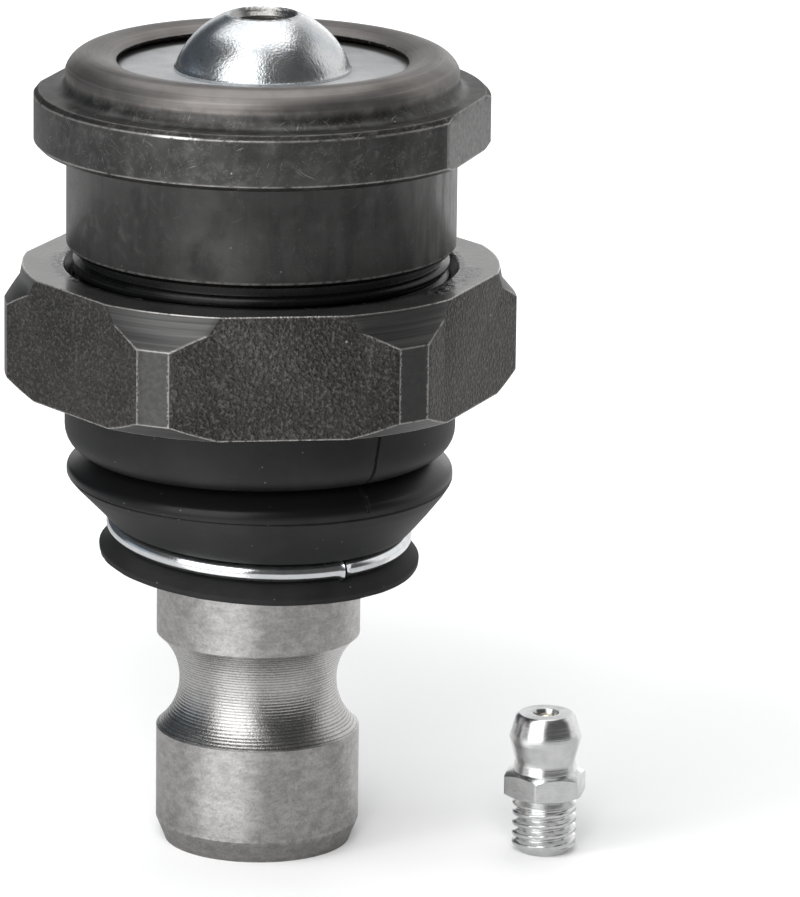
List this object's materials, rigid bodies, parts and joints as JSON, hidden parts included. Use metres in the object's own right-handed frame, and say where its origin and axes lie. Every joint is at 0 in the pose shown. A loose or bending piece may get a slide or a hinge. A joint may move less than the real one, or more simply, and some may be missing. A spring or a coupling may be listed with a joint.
{
  "type": "suspension ball joint",
  "caption": "Suspension ball joint: ball stud with pinch groove, flanged housing with rolled cover and grease port, large retaining nut, rubber boot and loose grease fitting.",
  "frame": {"origin": "centre of the stud's end face, on the surface it stands on", "axes": "+Z along the stud through the ball centre, towards the grease port; -Y towards the viewer; the fitting stands on the +X side"},
  "size_m": [0.0544, 0.0446, 0.0787],
  "materials": {
    "stud_steel": "ground and turned steel, satin",
    "dark_steel": "dark phosphated and oiled steel",
    "nut_steel": "dark shot-blasted steel",
    "zinc_plate": "dull zinc plating",
    "zinc_bright": "bright zinc plating",
    "race_polymer": "moulded acetal",
    "spring_steel": "tempered spring steel",
    "boot_rubber": "moulded black rubber",
    "ring_zinc": "bright zinc-plated wire",
    "fitting_zinc": "bright zinc plating",
    "ball_brass": "polished brass"
  },
  "bodies": {
    "stud": {"ball_stud": "stud_steel"},
    "boot_lip": {"boot_cone": "boot_rubber", "boot_wire_ring": "ring_zinc"},
    "boot_middle": {"boot_fold": "boot_rubber"},
    "housing": {"housing": "dark_steel", "cover_plate": "zinc_plate", "grease_boss": "zinc_bright", "lower_bearing": "race_polymer", "upper_bearing": "race_polymer", "preload_spring": "spring_steel", "boot_bell": "boot_rubber", "boot_collar_ring": "spring_steel"},
    "nut": {"retaining_nut": "nut_steel"},
    "fitting": {"fitting_body": "fitting_zinc", "fitting_spring_seat": "fitting_zinc", "fitting_spring": "spring_steel"},
    "check_ball": {"fitting_check_ball": "ball_brass"}
  },
  "joints": [
    {"name": "stud_spin", "type": "hinge", "parent": "stud", "child": "boot_lip", "pos_m": [0, 0, 0.0575], "axis": [0, 0, 1], "continuous": true},
    {"name": "swing_y", "type": "hinge", "parent": "boot_lip", "child": "boot_middle", "pos_m": [0, 0, 0.0575], "axis": [0, 1, 0], "range_deg": [-16, 16], "deforming": ["boot_cone"]},
    {"name": "swing_x", "type": "hinge", "parent": "boot_middle", "child": "housing", "pos_m": [0, 0, 0.0575], "axis": [1, 0, 0], "range_deg": [-16, 16], "deforming": ["boot_fold", "boot_bell"]},
    {"name": "nut_travel", "type": "slide", "parent": "housing", "child": "nut", "axis": [0, 0, -1], "range_m": [-0.0018, 0.075]},
    {"name": "fitting_lift", "type": "slide", "parent": "stud", "child": "fitting", "axis": [0, 0, 1], "range_m": [0, 0.09]},
    {"name": "check_ball_push", "type": "slide", "parent": "fitting", "child": "check_ball", "axis": [0, 0, -1], "range_m": [0, 0.0008], "stiffness_N_per_m": 400, "springref_m": -0.0012, "deforming": ["fitting_spring"]}
  ]
}
